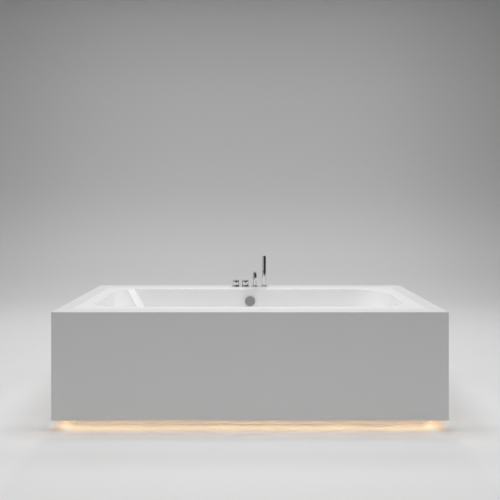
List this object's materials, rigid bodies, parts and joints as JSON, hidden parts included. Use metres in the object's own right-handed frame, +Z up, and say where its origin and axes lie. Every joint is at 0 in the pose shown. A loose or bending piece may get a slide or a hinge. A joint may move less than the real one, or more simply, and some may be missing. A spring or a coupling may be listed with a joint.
{
  "type": "built-in bathtub",
  "caption": "Rectangular built-in bathtub with a round-cornered inset basin, a flat mitred rim, a deck tap set and a set-back lit plinth.",
  "frame": {"origin": "on the floor under the middle of the tub", "axes": "+X along the tub towards the end with the large corner radii, -Y towards the user, +Z up"},
  "size_m": [2, 1, 0.802],
  "materials": {
    "white_acrylic": "polished white sanitary acrylic",
    "white_panel": "satin white lacquer on board",
    "white_plinth": "satin white lacquer on board",
    "plywood": "sealed plywood",
    "aluminium": "anodised, satin",
    "warm_diffuser": "frosted, lit from behind in warm white",
    "lamp_strip": "lit lamp strip",
    "black_plastic": "moulded, fine texture",
    "painted_steel": "powder coat, satin",
    "zinc_steel": "zinc plated",
    "black_rubber": "matte",
    "chrome": "polished chrome on brass",
    "grey_metal": "bead blasted, matte",
    "grey_rubber": "soft, matte",
    "grey_plastic": "moulded drain plastic"
  },
  "bodies": {
    "tub": {"tub_shell": "white_acrylic", "front_panel": "white_panel", "rear_panel": "white_panel", "left_panel": "white_panel", "right_panel": "white_panel", "front_plinth_board": "white_plinth", "rear_plinth_board": "white_plinth", "left_plinth_board": "white_plinth", "right_plinth_board": "white_plinth", "front_soffit": "plywood", "rear_soffit": "plywood", "left_soffit": "plywood", "right_soffit": "plywood", "base_board": "plywood", "front_light_channel": "aluminium", "rear_light_channel": "aluminium", "left_light_channel": "aluminium", "right_light_channel": "aluminium", "front_diffuser": "warm_diffuser", "rear_diffuser": "warm_diffuser", "left_diffuser": "warm_diffuser", "right_diffuser": "warm_diffuser", "light_strips": "lamp_strip", "light_supply": "black_plastic", "light_supply_lid": "black_plastic", "light_supply_gland": "black_plastic", "cradle_rails": "painted_steel", "cross_members": "painted_steel", "panel_brackets": "zinc_steel", "leg_studs": "zinc_steel", "leg_nuts": "zinc_steel", "deck_nuts": "zinc_steel", "leg_pads": "black_rubber", "hot_valve": "chrome", "cold_valve": "chrome", "spout": "chrome", "spout_plate": "chrome", "shower_socket": "chrome", "overflow_flange": "grey_metal", "waste_flange": "grey_metal", "spout_outlet": "grey_rubber", "overflow_seal": "grey_rubber", "waste_seal": "grey_rubber", "overflow_body": "grey_plastic", "overflow_pipe": "grey_plastic", "waste_body": "grey_plastic", "trap_nut": "grey_plastic", "trap": "grey_plastic"},
    "hot_handle": {"hot_knob": "chrome", "hot_lever": "chrome"},
    "cold_handle": {"cold_knob": "chrome", "cold_lever": "chrome"},
    "diverter": {"diverter_knob": "chrome"},
    "handset": {"hand_shower": "chrome", "spray_plate": "grey_rubber"},
    "overflow_dial": {"overflow_knob": "grey_metal"},
    "plug": {"waste_plug": "grey_metal"}
  },
  "joints": [
    {"name": "hot_turn", "type": "hinge", "parent": "tub", "child": "hot_handle", "pos_m": [-0.093, 0.452, 0.625], "axis": [0, 0, -1], "range_deg": [0, 90]},
    {"name": "cold_turn", "type": "hinge", "parent": "tub", "child": "cold_handle", "pos_m": [-0.031, 0.452, 0.625], "axis": [0, 0, 1], "range_deg": [0, 90]},
    {"name": "diverter_pull", "type": "slide", "parent": "tub", "child": "diverter", "axis": [0, 0, 1], "range_m": [0, 0.01]},
    {"name": "handshower_lift", "type": "slide", "parent": "tub", "child": "handset", "axis": [0, 0, 1], "range_m": [0, 0.25]},
    {"name": "overflow_turn", "type": "hinge", "parent": "tub", "child": "overflow_dial", "pos_m": [0, 0.32831, 0.523], "axis": [0, -0.9962, 0.0872], "range_deg": [0, 90]},
    {"name": "plug_lift", "type": "slide", "parent": "tub", "child": "plug", "axis": [0, 0, 1], "range_m": [0, 0.01]}
  ],
  "couplings": [
    {"joint": "plug_lift", "follows": "overflow_turn", "m_per_rad": 0.006366}
  ]
}
